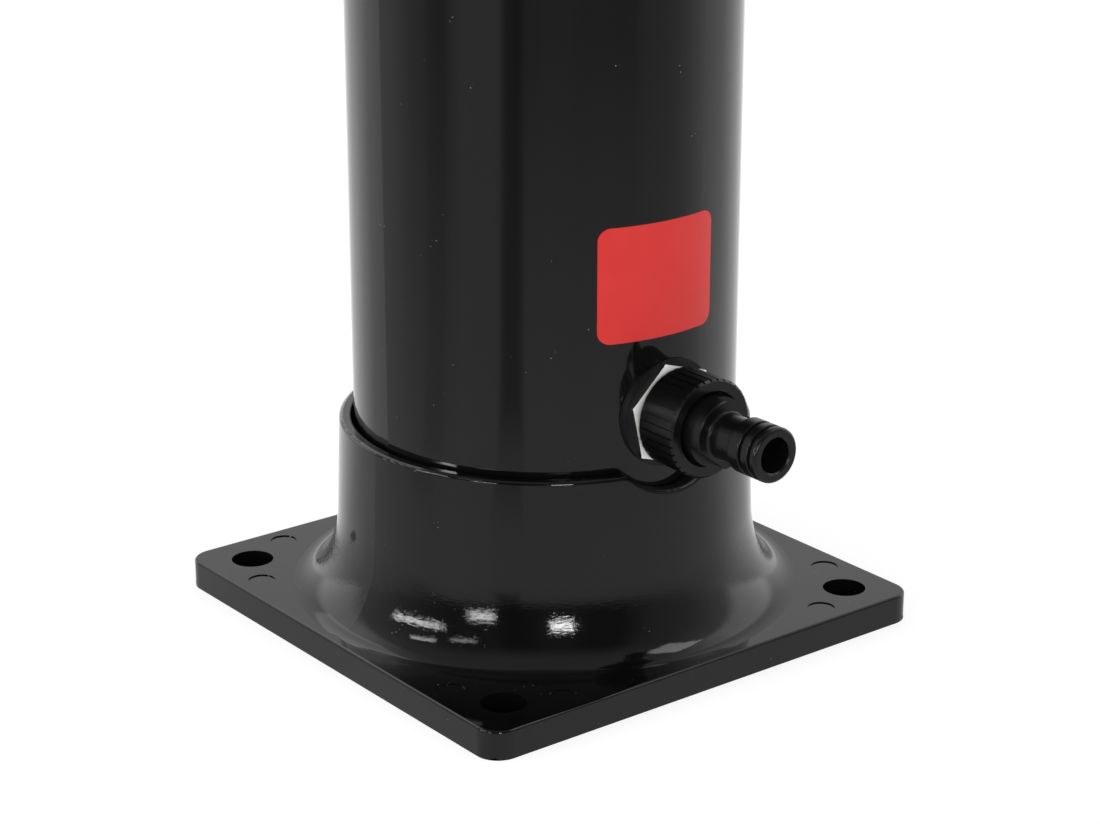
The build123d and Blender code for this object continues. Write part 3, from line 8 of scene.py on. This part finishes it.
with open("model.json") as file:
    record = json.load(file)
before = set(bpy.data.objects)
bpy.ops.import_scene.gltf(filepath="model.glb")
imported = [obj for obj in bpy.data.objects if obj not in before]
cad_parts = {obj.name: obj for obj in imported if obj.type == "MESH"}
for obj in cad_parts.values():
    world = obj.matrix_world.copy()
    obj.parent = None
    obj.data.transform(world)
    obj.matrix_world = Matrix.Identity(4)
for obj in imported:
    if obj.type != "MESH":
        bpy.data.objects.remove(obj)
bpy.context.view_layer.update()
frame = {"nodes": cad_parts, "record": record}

nodes = frame["nodes"]

# Camera, at the photograph's distance and angle. Here and below an azimuth is in degrees from -Y towards +X.
LENS = 91.51
SENSOR = 36.0
CAMERA_PLACE = (0.5301, 0.6820, 0.37985)
CAMERA_AZIMUTH = 142.025
CAMERA_PITCH = 19.909
CAMERA_REACH = (0.05, 60.0)

# Light that matt surfaces get from the room
WHITE = (1.0, 1.0, 1.0, 1.0)
DIFFUSE_WORLD = 0.68

# The studio as reflections show it: dim near the photographer and bright behind the object. ROOM_NEAR_SHARE
# is the cosine of the angle to the camera's azimuth at which the room reaches its dimmest.
ROOM_GREY = (0.8, 0.8, 0.8, 1.0)
ROOM_NEAR = 0.05
ROOM_FAR = 1.0
ROOM_NEAR_SHARE = 0.55
ON_FLOOR = 0
ON_WALLS = 1
# The brightest that the streaks can make the floor and the walls
ROOM_MOST = (1.0, 1.8)
STREAKS = (
    # azimuth, half width, soft edge, brightness added on the floor, and on the walls
    (107.0, 8.0, 16.0, 0.46, 0.05),
    (150.0, 5.0, 10.0, 0.16, 0.05),
    (62.0, 10.0, 22.0, 0.25, 0.2),
    (222.0, 16.0, 26.0, 0.28, 0.25),
    (18.0, 6.0, 16.0, 0.1, 1.0),
    (266.0, 6.0, 16.0, 0.0, 1.1),
)
DARK_BANDS = (
    # azimuth, half width, soft edge, share of the light kept
    (124.6, 1.0, 7.0, 0.42),
    (80.4, 1.5, 7.0, 0.82),
)
# The walls give way to the ceiling between these sines of the elevation
CEILING_SPAN = (0.64, 0.93)
CEILING_BRIGHTNESS = 0.4

# Floor: how pale it is, how the camera sees it, and how reflections show it. Its span and the start of its
# bands are distances from the object's axis.
FLOOR_REACH = 9.0
FLOOR_ALBEDO = 0.86
FLOOR_SEEN_ALBEDO = 0.4
FLOOR_SEEN_GLOW = 0.72
NEAR_FLOOR_BRIGHTNESS = 0.57
NEAR_FLOOR_SPAN = (0.2, 1.0)
FAR_FLOOR_SHARE = 0.42
BANDS_START = (0.2, 0.42)
FLOOR_SOFTNESS = 0.3
# Half width of the square under the foot's plate where reflections see the floor dark: a painted shadow
PAINTED_SHADOW_HALF_WIDTH = 0.086

LAMP_TARGET = Vector((0.0, 0.0, 0.02))
LAMPS = (
    # name, azimuth, elevation, distance, width, height, power for each square metre, roll
    ("camera_box", 151.0, 17.0, 2.4, 0.45, 0.3, 88.0, 0.0),
    ("left_box", 110.0, 9.8, 2.4, 0.55, 0.13, 84.0, 0.0),
    ("far_left_box", 74.5, 20.3, 2.4, 1.15, 0.07, 120.0, 12.5),
    ("high_left_box", 73.0, 38.5, 2.4, 0.5, 0.12, 26.0, 0.0),
    ("high_middle_box", 98.0, 36.0, 2.4, 0.5, 0.1, 22.0, 0.0),
    ("right_box", 231.0, 53.0, 2.8, 0.95, 0.6, 8.0, 0.0),
    ("back_box", 350.0, 42.0, 3.0, 1.6, 1.2, 2.0, 0.0),
)

# Finishes. Colours are linear, scales are in features per metre, and a roughness is its least and its most.
# A span is the part of a noise's values that is stretched over the whole range of a colour or a roughness.
CLOUD_SPAN = (0.3, 0.7)

GLOSS_IOR = 1.48
GLOSS_DARK = (0.002, 0.002, 0.0021)
GLOSS_LIGHT = (0.0045, 0.0045, 0.0048)
GLOSS_ROUGHNESS = (0.03, 0.09)
TANK_FLOW = (90.0, 90.0, 1.6)
FOOT_FLOW = (30.0, 30.0, 12.0)
# A speck of dust fades out between these distances from its point, in cells, and only lies where a coarser
# noise is high
SPECK_EDGE = (0.05, 0.13)
DUSTY_SPAN = (0.67, 0.71)
DUSTY_SCALE_SHARE = 0.21
DUST_COLOR = (0.3, 0.3, 0.3)
DUST_ROUGHNESS = 0.4
RIPPLE_HEIGHTS = (0.0098, 0.034)
RIPPLE_SCALE = (420.0, 420.0, 1500.0)
RIPPLE_DEPTH = 0.00005

LABEL_IOR = 1.45
LABEL_DARK = (0.645, 0.029, 0.026)
LABEL_LIGHT = (0.675, 0.034, 0.03)
LABEL_ROUGHNESS = (0.16, 0.22)
LABEL_FIBRE_SHARE = 0.3
LABEL_WORN_SPAN = (0.4, 0.95)

NUT_AXIS = (0.0, 1.0, 0.0)
# How far a face's normal points along the axis where it starts to look turned and to take the painted sheen,
# and where it fully does
NUT_TURNED_AND_SHEEN_SPAN = (0.8, 0.95)
NUT_LATHE_SCALE = (300.0, 2400.0, 300.0)
NUT_STAIN_SHARE = 0.1
NUT_FLAT_DARK = (0.5, 0.5, 0.5)
NUT_FLAT_LIGHT = (0.66, 0.66, 0.65)
# The turned faces are painted nearly white and almost matt: a painted sheen that stands in for the bright
# reflection of the plated metal
NUT_FACE_SHEEN_DARK = (0.93, 0.93, 0.92)
NUT_FACE_SHEEN_LIGHT = (0.99, 0.99, 0.98)
NUT_FLAT_ROUGHNESS = 0.16
NUT_FACE_ROUGHNESS = 0.42
NUT_FACE_SHEEN_METALLIC = 0.12

SEMI_MATT = {
    # slot: material, dark and light colour, roughness, grain's scale, grain's depth, IOR
    "inner_plastic": (
        "inner_grey", (0.045, 0.045, 0.05), (0.06, 0.06, 0.065), (0.4, 0.55), 500.0, 0.00003, 1.48),
    "hose_rubber": (
        "hose_black", (0.02, 0.02, 0.021), (0.032, 0.032, 0.034), (0.45, 0.62), 700.0, 0.00004, 1.48),
    "seal_rubber": (
        "seal_black", (0.003, 0.003, 0.003), (0.007, 0.007, 0.007), (0.42, 0.6), 900.0, 0.00003, 1.4),
    "hose_plastic": (
        "hose_fitting", (0.002, 0.002, 0.0022), (0.005, 0.005, 0.0055), (0.2, 0.3), 240.0, 0.00004, 1.42),
    "face_plastic": (
        "face_grey", (0.42, 0.43, 0.45), (0.5, 0.51, 0.53), (0.28, 0.4), 600.0, 0.00002, 1.48),
    "nozzle_rubber": (
        "silicone", (0.11, 0.11, 0.12), (0.16, 0.16, 0.17), (0.42, 0.6), 900.0, 0.00002, 1.48),
    "cartridge_plastic": (
        "ivory", (0.66, 0.64, 0.58), (0.75, 0.73, 0.68), (0.35, 0.5), 500.0, 0.00002, 1.48),
}
METALS = {
    # slot: material, dark and light colour, roughness, depth of its fine lines
    "steel": ("stainless", (0.42, 0.42, 0.41), (0.6, 0.6, 0.6), (0.22, 0.36), 0.00001),
    "brass": ("brass", (0.52, 0.33, 0.12), (0.74, 0.53, 0.24), (0.2, 0.36), 0.00001),
    "chrome": ("chrome", (0.66, 0.67, 0.68), (0.78, 0.79, 0.8), (0.04, 0.1), 0.000002),
    "chromed_plastic": ("chromed_plastic", (0.62, 0.63, 0.65), (0.73, 0.74, 0.76), (0.07, 0.14), 0.000003),
    "index_plastic": ("index_satin", (0.6, 0.6, 0.61), (0.7, 0.7, 0.71), (0.2, 0.3), 0.00001),
}
MATT_GRAIN_SHARE = 0.4
MATT_WORN_SPAN = (0.4, 1.0)
MATT_CLOUD_SCALE_SHARE = 0.04
METAL_LINE_SCALE = (140.0, 140.0, 900.0)
METAL_LINE_SHARE = 0.5
METAL_STAIN_SPAN = (0.35, 0.7)
METAL_RUBBED_SPAN = (0.3, 0.75)


class Graph:
    """A node tree, with short calls for the nodes that the finishes and the studio share."""

    # Where the Mix node keeps its two colours and its mixed colour
    MIX_COLORS = (6, 7)
    MIX_RESULT = 2

    def __init__(self, tree):
        self.tree = tree

    def add(self, kind):
        return self.tree.nodes.new(kind)

    def feed(self, socket, value):
        """Link an output to a socket, or set the socket to a plain value."""
        if isinstance(value, bpy.types.NodeSocket):
            self.tree.links.new(value, socket)
        else:
            socket.default_value = value

    def math(self, operation, first, second=0.0, softness=0.0):
        """One math node; softness is the distance over which a smooth maximum blends."""
        node = self.add("ShaderNodeMath")
        node.operation = operation
        for socket, value in zip(node.inputs, (first, second, softness)):
            self.feed(socket, value)
        return node.outputs["Value"]

    def vector_math(self, operation, *vectors):
        node = self.add("ShaderNodeVectorMath")
        node.operation = operation
        for socket, value in zip(node.inputs, vectors):
            self.feed(socket, value)
        return node.outputs["Value" if operation in ("DOT_PRODUCT", "LENGTH") else "Vector"]

    def parts(self, vector):
        """The X, Y and Z outputs of a vector."""
        node = self.add("ShaderNodeSeparateXYZ")
        self.feed(node.inputs["Vector"], vector)
        return node.outputs

    def span(self, value, low, high, out_low, out_high, eased=False):
        """Map a value's span to another span, clamped, with soft ends where eased."""
        node = self.add("ShaderNodeMapRange")
        if eased:
            node.interpolation_type = "SMOOTHSTEP"
        limits = {"From Min": low, "From Max": high, "To Min": out_low, "To Max": out_high}
        for name, limit in limits.items():
            node.inputs[name].default_value = limit
        self.feed(node.inputs["Value"], value)
        return node.outputs["Result"]

    def blend(self, factor, first, second):
        """Mix two colours by a factor; each colour is a triple or an output."""
        node = self.add("ShaderNodeMix")
        node.data_type = "RGBA"
        self.feed(node.inputs["Factor"], factor)
        for index, value in zip(self.MIX_COLORS, (first, second)):
            self.feed(node.inputs[index], (*value, 1.0) if isinstance(value, tuple) else value)
        return node.outputs[self.MIX_RESULT]


class Finish(Graph):
    """A material's graph, in the object's own coordinates."""

    def __init__(self, name):
        self.material = bpy.data.materials.new(name)
        self.material.use_nodes = True
        super().__init__(self.material.node_tree)
        self.shader = self.tree.nodes["Principled BSDF"]
        coordinates = self.add("ShaderNodeTexCoord").outputs
        self.place = coordinates["Object"]
        self.facing = coordinates["Normal"]

    def stretched(self, scale):
        """Object coordinates scaled along X, Y and Z."""
        mapping = self.add("ShaderNodeMapping")
        mapping.inputs["Scale"].default_value = scale
        self.feed(mapping.inputs["Vector"], self.place)
        return mapping.outputs["Vector"]

    def along(self, axis):
        """How nearly the surface faces along an axis, either way."""
        return self.math("ABSOLUTE", self.vector_math("DOT_PRODUCT", self.facing, axis))

    def noise(self, scale, detail=4.0, roughness=0.55, place=None):
        node = self.add("ShaderNodeTexNoise")
        node.inputs["Scale"].default_value = scale
        node.inputs["Detail"].default_value = detail
        node.inputs["Roughness"].default_value = roughness
        self.feed(node.inputs["Vector"], place or self.place)
        return node.outputs["Fac"]

    def lines(self, scale, detail=3.0, roughness=0.6):
        """Noise that is stretched into lines by different scales along X, Y and Z."""
        return self.noise(1.0, detail, roughness, self.stretched(scale))

    def cells(self, scale):
        """Distance to the nearest point of a scattered set."""
        node = self.add("ShaderNodeTexVoronoi")
        node.inputs["Scale"].default_value = scale
        self.feed(node.inputs["Vector"], self.place)
        return node.outputs["Distance"]

    def bump(self, height, distance, strength=1.0, below=None):
        """A bump by a height map; below is the normal of the bump under it."""
        node = self.add("ShaderNodeBump")
        node.inputs["Distance"].default_value = distance
        node.inputs["Strength"].default_value = strength
        self.feed(node.inputs["Height"], height)
        if below is not None:
            self.feed(node.inputs["Normal"], below)
        return node.outputs["Normal"]

    def close(self, color, roughness, normal, metallic=0.0, ior=1.5):
        """Hand everything to the shader and return the material."""
        values = {
            "Base Color": color, "Roughness": roughness, "Normal": normal, "Metallic": metallic, "IOR": ior,
        }
        for name, value in values.items():
            self.feed(self.shader.inputs[name], value)
        return self.material


def black_gloss(name, flow_scale, dust_scale, ripple=None):
    """Gloss black plastic with faint flow lines and specks of dust.

    dust_scale is how closely specks could lie; most are left out. ripple is the span of heights in which the
    mould left a fine waviness.
    """
    g = Finish(name)
    flow = g.lines(flow_scale, roughness=0.5)
    specks = g.span(g.cells(dust_scale), *SPECK_EDGE, 1.0, 0.0)
    dusty = g.span(g.noise(dust_scale * DUSTY_SCALE_SHARE, detail=1.0), *DUSTY_SPAN, 0.0, 1.0)
    specks = g.math("MULTIPLY", specks, dusty)
    color = g.blend(specks, g.blend(flow, GLOSS_DARK, GLOSS_LIGHT), DUST_COLOR)
    rubbed = g.span(g.noise(scale=9.0, detail=3.0), *CLOUD_SPAN, *GLOSS_ROUGHNESS)
    roughness = g.math("ADD", rubbed, g.math("MULTIPLY", specks, DUST_ROUGHNESS))
    normal = g.bump(g.noise(scale=260.0, detail=2.0), distance=0.00002, strength=0.35)
    if ripple is not None:
        waves = g.math("MULTIPLY", g.lines(RIPPLE_SCALE), faded(g, *ripple))
        normal = g.bump(waves, RIPPLE_DEPTH, below=normal)
    normal = g.bump(flow, distance=0.00006, strength=0.5, below=normal)
    return g.close(color, roughness, normal, ior=GLOSS_IOR)


def faded(g, foot, top):
    """One in the middle third between two heights above the ground, fading to zero at both."""
    third = (top - foot) / 3
    height = g.parts(g.place)["Z"]
    rise = g.span(height, foot, foot + third, 0.0, 1.0)
    fall = g.span(height, top - third, top, 1.0, 0.0)
    return g.math("MULTIPLY", rise, fall)


def semi_matt(name, dark, light, roughness, grain, depth, ior):
    """Moulded plastic or rubber with a fine grain."""
    g = Finish(name)
    fine = g.noise(grain, detail=5.0, roughness=0.6)
    cloud = g.noise(grain * MATT_CLOUD_SCALE_SHARE, detail=3.0)
    color = g.blend(g.span(cloud, *CLOUD_SPAN, 0.0, 1.0), dark, light)
    worn = g.math("ADD", cloud, g.math("MULTIPLY", fine, MATT_GRAIN_SHARE))
    normal = g.bump(fine, depth, strength=0.6)
    return g.close(color, g.span(worn, *MATT_WORN_SPAN, *roughness), normal, ior=ior)


def metal(name, dark, light, roughness, depth):
    """Plated or turned metal with fine lines and faint stains."""
    g = Finish(name)
    least, most = roughness
    scratch = g.lines(METAL_LINE_SCALE, detail=4.0)
    stain = g.noise(scale=28.0)
    color = g.blend(g.span(stain, *METAL_STAIN_SPAN, 0.0, 1.0), light, dark)
    rubbed = g.span(stain, *METAL_RUBBED_SPAN, least, most)
    lined = g.math("MULTIPLY", scratch, (most - least) * METAL_LINE_SHARE)
    normal = g.bump(scratch, depth, strength=0.5)
    return g.close(color, g.math("ADD", rubbed, lined), normal, metallic=1.0)


def plated_nut(name, axis):
    """Nickel plated nut turned about an axis: satin faces with lathe marks, painted nearly white and almost
    matt as a painted sheen, and bright plated flats.
    """
    g = Finish(name)
    # Faces along the axis: satin there, and the place of the painted sheen
    turned = g.span(g.along(axis), *NUT_TURNED_AND_SHEEN_SPAN, 0.0, 1.0)
    stain = g.noise(scale=160.0)
    scratch = g.lines(NUT_LATHE_SCALE)
    flats = g.blend(stain, NUT_FLAT_DARK, NUT_FLAT_LIGHT)
    # Painted sheen: the faces along the axis are nearly white
    faces = g.blend(stain, NUT_FACE_SHEEN_DARK, NUT_FACE_SHEEN_LIGHT)
    satin = g.span(turned, 0.0, 1.0, NUT_FLAT_ROUGHNESS, NUT_FACE_ROUGHNESS)
    roughness = g.math("ADD", satin, g.math("MULTIPLY", stain, NUT_STAIN_SHARE))
    normal = g.bump(scratch, distance=0.00001, strength=0.5)
    # Painted sheen: the faces along the axis are mostly matt, so that their near-white colour shows
    metallic = g.span(turned, 0.0, 1.0, 1.0, NUT_FACE_SHEEN_METALLIC)
    return g.close(g.blend(turned, flats, faces), roughness, normal, metallic)


def label_film(name):
    """Plain red film with a slightly cloudy ink and a fine fibre."""
    g = Finish(name)
    ink = g.noise(scale=60.0)
    fibre = g.noise(scale=900.0, detail=3.0)
    color = g.blend(g.span(ink, *CLOUD_SPAN, 0.0, 1.0), LABEL_DARK, LABEL_LIGHT)
    worn = g.math("ADD", ink, g.math("MULTIPLY", fibre, LABEL_FIBRE_SHARE))
    normal = g.bump(fibre, distance=0.000008, strength=0.4)
    return g.close(color, g.span(worn, *LABEL_WORN_SPAN, *LABEL_ROUGHNESS), normal, ior=LABEL_IOR)


def make_materials():
    """The finish of each slot that the record names."""
    materials = {
        "tank_plastic": black_gloss("tank_gloss", TANK_FLOW, dust_scale=620.0),
        "foot_plastic": black_gloss("foot_gloss", FOOT_FLOW, dust_scale=700.0, ripple=RIPPLE_HEIGHTS),
        "nickel": plated_nut("nickel", NUT_AXIS),
        "label_film": label_film("label_red"),
    }
    for slot, values in SEMI_MATT.items():
        materials[slot] = semi_matt(*values)
    for slot, values in METALS.items():
        materials[slot] = metal(*values)
    return materials


def dress(materials):
    """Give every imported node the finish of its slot.

    The photograph shows no red from the label in the inlet's black plastic, so reflections leave it out.
    """
    for part in frame["record"]["subparts"]:
        thing = nodes[part["node"]]
        thing.data.materials.clear()
        thing.data.materials.append(materials[part["material_slot"]])
    nodes["inlet_label"].visible_glossy = False


def level(azimuth):
    """Horizontal unit vector at an azimuth in degrees."""
    angle = math.radians(azimuth)
    return Vector((math.sin(angle), -math.cos(angle), 0.0))


def raised(azimuth, elevation):
    """Unit vector at an azimuth and an elevation in degrees."""
    angle = math.radians(elevation)
    return level(azimuth) * math.cos(angle) + Vector((0.0, 0.0, math.sin(angle)))


def flattened(g, direction):
    """The horizontal unit vector of a direction."""
    return g.vector_math("NORMALIZE", g.vector_math("MULTIPLY", direction, (1.0, 1.0, 0.0)))


def towards(g, flat, azimuth):
    """Cosine of the angle between a horizontal direction and an azimuth."""
    return g.vector_math("DOT_PRODUCT", flat, level(azimuth))


def stripe(g, flat, azimuth, half_width, edge, beside, inside):
    """A soft upright stripe of the studio: one value inside it and another beside it."""
    outer = math.cos(math.radians(half_width + edge))
    inner = math.cos(math.radians(half_width))
    return g.span(towards(g, flat, azimuth), outer, inner, beside, inside, eased=True)


def room_brightness(g, flat, surface):
    """How bright the floor or the walls look in a direction, without the dark bands."""
    turn = towards(g, flat, CAMERA_AZIMUTH)
    total = g.span(turn, -1.0, ROOM_NEAR_SHARE, ROOM_FAR, ROOM_NEAR, eased=True)
    for azimuth, half_width, edge, *gains in STREAKS:
        total = g.math("ADD", total, stripe(g, flat, azimuth, half_width, edge, 0.0, gains[surface]))
    return g.math("MINIMUM", total, ROOM_MOST[surface])


def dark_bands(g, flat):
    """The share of the light that the studio's dark uprights leave."""
    share = 1.0
    for azimuth, half_width, edge, kept in DARK_BANDS:
        share = g.math("MULTIPLY", share, stripe(g, flat, azimuth, half_width, edge, 1.0, kept))
    return share


def outside_painted_shadow(g, position):
    """Zero on the floor under the foot's square plate, one beside it: a painted shadow under the foot in
    reflections.
    """
    place = g.parts(position)
    farther = g.math("MAXIMUM", g.math("ABSOLUTE", place["X"]), g.math("ABSOLUTE", place["Y"]))
    return g.math("GREATER_THAN", farther, PAINTED_SHADOW_HALF_WIDTH)


def floor_brightness(g):
    """How bright reflections see the floor: by its distance near the foot, like the room further off, and
    dark under the foot's plate as a painted shadow.
    """
    position = g.add("ShaderNodeNewGeometry").outputs["Position"]
    away = g.vector_math("LENGTH", position)
    flat = flattened(g, position)
    near = g.span(away, *NEAR_FLOOR_SPAN, NEAR_FLOOR_BRIGHTNESS, NEAR_FLOOR_BRIGHTNESS * FAR_FLOOR_SHARE)
    brightness = g.math("SMOOTH_MAX", room_brightness(g, flat, ON_FLOOR), near, FLOOR_SOFTNESS)
    bands = g.math("MAXIMUM", dark_bands(g, flat), g.span(away, *BANDS_START, 1.0, 0.0, eased=True))
    # Under the foot's plate reflections see a painted shadow
    return g.math("MULTIPLY", g.math("MULTIPLY", brightness, bands), outside_painted_shadow(g, position))


def wall_brightness(g):
    """How bright reflections see the walls and the ceiling."""
    direction = g.add("ShaderNodeTexCoord").outputs["Generated"]
    flat = flattened(g, direction)
    rise = g.parts(direction)["Z"]
    walls = g.math("MULTIPLY", room_brightness(g, flat, ON_WALLS), dark_bands(g, flat))
    walls = g.math("MULTIPLY", walls, g.span(rise, *CEILING_SPAN, 1.0, 0.0, eased=True))
    return g.math("ADD", walls, g.span(rise, *CEILING_SPAN, 0.0, CEILING_BRIGHTNESS, eased=True))


def mix_shaders(g, factor, first, second):
    node = g.add("ShaderNodeMixShader")
    for socket, value in zip(node.inputs, (factor, first, second)):
        g.feed(socket, value)
    return node.outputs["Shader"]


def show(g, output, soft, gloss, camera):
    """Send an output one shader for matt surfaces, one for glossy and clear ones and one for the camera."""
    path = g.add("ShaderNodeLightPath").outputs
    mirrored = g.math("MAXIMUM", path["Is Glossy Ray"], path["Is Transmission Ray"])
    unseen = mix_shaders(g, mirrored, soft, gloss)
    g.feed(g.add(output).inputs["Surface"], mix_shaders(g, path["Is Camera Ray"], unseen, camera))


def background(g, color, strength):
    node = g.add("ShaderNodeBackground")
    node.inputs["Color"].default_value = color
    g.feed(node.inputs["Strength"], strength)
    return node.outputs["Background"]


def emission(g, strength):
    node = g.add("ShaderNodeEmission")
    g.feed(node.inputs["Strength"], strength)
    return node.outputs["Emission"]


def diffuse(g, albedo):
    node = g.add("ShaderNodeBsdfDiffuse")
    node.inputs["Color"].default_value = (albedo, albedo, albedo, 1.0)
    return node.outputs["BSDF"]


def make_world():
    """White to the camera, the studio's brightness in reflections, and a plain soft light for the rest."""
    world = bpy.data.worlds.new("studio")
    bpy.context.scene.world = world
    world.use_nodes = True
    g = Graph(world.node_tree)
    g.tree.nodes.clear()
    soft = background(g, WHITE, DIFFUSE_WORLD)
    gloss = background(g, ROOM_GREY, wall_brightness(g))
    show(g, "ShaderNodeOutputWorld", soft, gloss, background(g, WHITE, 1.0))


def floor_material():
    """White to the camera except for the object's shadow, and the studio's brightness in reflections."""
    material = bpy.data.materials.new("floor_white")
    material.use_nodes = True
    g = Graph(material.node_tree)
    g.tree.nodes.clear()
    seen = g.add("ShaderNodeAddShader")
    g.feed(seen.inputs[0], diffuse(g, FLOOR_SEEN_ALBEDO))
    g.feed(seen.inputs[1], emission(g, FLOOR_SEEN_GLOW))
    gloss = emission(g, floor_brightness(g))
    show(g, "ShaderNodeOutputMaterial", diffuse(g, FLOOR_ALBEDO), gloss, seen.outputs["Shader"])
    return material


def add_object(name, data):
    """A new object in the scene, turned by quaternion."""
    thing = bpy.data.objects.new(name, data)
    thing.rotation_mode = "QUATERNION"
    bpy.context.scene.collection.objects.link(thing)
    return thing


def make_floor():
    """A wide pale square under the object."""
    mesh = bpy.data.meshes.new("floor")
    corners = [(x * FLOOR_REACH, y * FLOOR_REACH, 0.0) for x, y in ((-1, -1), (1, -1), (1, 1), (-1, 1))]
    mesh.from_pydata(corners, [], [range(len(corners))])
    mesh.materials.append(floor_material())
    add_object("floor", mesh)


def make_camera():
    """The photograph's view: a long lens on the foot, from behind the column and to the left of the inlet."""
    data = bpy.data.cameras.new("camera")
    data.lens = LENS
    data.sensor_width = SENSOR
    data.clip_start, data.clip_end = CAMERA_REACH
    camera = add_object("camera", data)
    camera.location = CAMERA_PLACE
    camera.rotation_quaternion = (-raised(CAMERA_AZIMUTH, CAMERA_PITCH)).to_track_quat("-Z", "Y")
    bpy.context.scene.camera = camera


def make_lamps():
    """Small soft boxes, which the flare shows as highlights."""
    for name, azimuth, elevation, distance, width, height, power, roll in LAMPS:
        data = bpy.data.lights.new(name, "AREA")
        data.shape = "RECTANGLE"
        data.size = width
        data.size_y = height
        data.energy = power * width * height
        lamp = add_object(name, data)
        lamp.location = raised(azimuth, elevation) * distance
        aim = (LAMP_TARGET - lamp.location).to_track_quat("-Z", "Y")
        lamp.rotation_quaternion = aim @ Quaternion((0.0, 0.0, 1.0), math.radians(roll))


bpy.context.scene.view_settings.view_transform = "Standard"
make_camera()
make_world()
make_floor()
dress(make_materials())
make_lamps()
